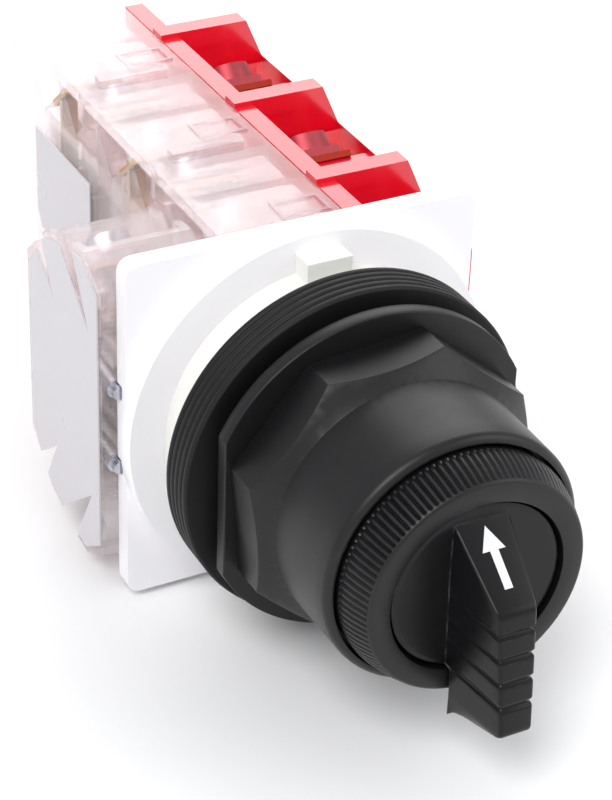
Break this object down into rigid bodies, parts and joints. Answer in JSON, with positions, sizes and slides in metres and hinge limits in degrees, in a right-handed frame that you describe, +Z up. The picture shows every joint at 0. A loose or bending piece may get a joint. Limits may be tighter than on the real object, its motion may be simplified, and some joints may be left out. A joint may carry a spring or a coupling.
{
  "type": "three-position selector switch",
  "caption": "Panel-mounted lever selector switch with ring nut, gaskets, square base and a stack of clear and red contact blocks worked by a cam.",
  "frame": {"origin": "on the turning axis, at the front of the gasket stack, where the panel's rear face seats", "axes": "-Y along the turning axis towards the user, +X right and +Z up as the user sees the front; the lever's arrow points to +Z at rest"},
  "size_m": [0.0474, 0.1179, 0.0454],
  "materials": {
    "black_plastic": "satin moulded, faint grain",
    "white_plastic": "satin moulded",
    "ivory_plastic": "satin moulded",
    "black_rubber": "matte",
    "clear_plastic": "clear, slightly pink, polished",
    "red_plastic": "tinted, polished",
    "plunger_plastic": "satin moulded",
    "brass": "plated, lightly worn",
    "nickel_screw": "nickel plated",
    "zinc": "zinc plated",
    "steel": "polished ball",
    "spring_steel": "drawn wire",
    "label": "blank printed film"
  },
  "bodies": {
    "root": {"bezel_ring": "black_plastic", "ring_nut": "black_plastic", "threaded_barrel": "black_plastic", "detent_ball": "steel", "detent_spring": "spring_steel", "shaft_seal": "black_rubber", "trim_washer": "black_plastic", "rear_bush": "ivory_plastic", "spacer_ring": "ivory_plastic", "base_plate": "white_plastic", "rear_cover": "white_plastic", "cover_screws": "zinc", "gasket_1": "black_rubber", "gasket_2": "black_rubber", "gasket_3": "black_rubber", "gasket_4": "black_rubber", "gasket_5": "black_rubber", "housing_left_1": "clear_plastic", "housing_middle_1": "clear_plastic", "housing_middle_2": "clear_plastic", "housing_middle_3": "clear_plastic", "housing_right_1": "red_plastic", "housing_right_2": "red_plastic", "housing_right_3": "red_plastic", "return_springs_left": "spring_steel", "return_springs_middle": "spring_steel", "return_springs_right": "spring_steel", "terminals_left": "brass", "terminals_middle": "brass", "terminals_right": "brass", "terminal_screws_left": "nickel_screw", "terminal_screws_middle": "nickel_screw", "terminal_screws_right": "nickel_screw", "block_screws": "zinc", "label_left": "label", "label_rear": "label"},
    "knob": {"knob_lever": "black_plastic", "shaft": "zinc", "cam": "white_plastic", "cam_screw": "zinc", "detent_wheel": "ivory_plastic"},
    "left_train": {"plunger_left_1": "plunger_plastic", "contact_bars_left": "brass"},
    "middle_train": {"plunger_middle_1": "plunger_plastic", "plunger_middle_2": "plunger_plastic", "plunger_middle_3": "plunger_plastic", "contact_bars_middle": "brass"},
    "right_train": {"plunger_right_1": "plunger_plastic", "plunger_right_2": "plunger_plastic", "plunger_right_3": "plunger_plastic", "contact_bars_right": "brass"}
  },
  "joints": [
    {"name": "knob_turn", "type": "hinge", "parent": "root", "child": "knob", "pos_m": [0, 0, 0], "axis": [0, 1, 0], "range_deg": [-45, 45]},
    {"name": "left_slide", "type": "slide", "parent": "root", "child": "left_train", "axis": [0, 1, 0], "range_m": [-0.00091, 0.00091], "deforming": ["return_springs_left"]},
    {"name": "middle_slide", "type": "slide", "parent": "root", "child": "middle_train", "axis": [0, 1, 0], "range_m": [-0.00091, 0.00091], "deforming": ["return_springs_middle"]},
    {"name": "right_slide", "type": "slide", "parent": "root", "child": "right_train", "axis": [0, 1, 0], "range_m": [-0.00091, 0.00091], "deforming": ["return_springs_right"]}
  ],
  "couplings": [
    {"joint": "left_slide", "follows": "knob_turn", "m_per_rad": -0.0011459},
    {"joint": "middle_slide", "follows": "knob_turn", "m_per_rad": -0.0011459},
    {"joint": "right_slide", "follows": "knob_turn", "m_per_rad": 0.0011459}
  ]
}
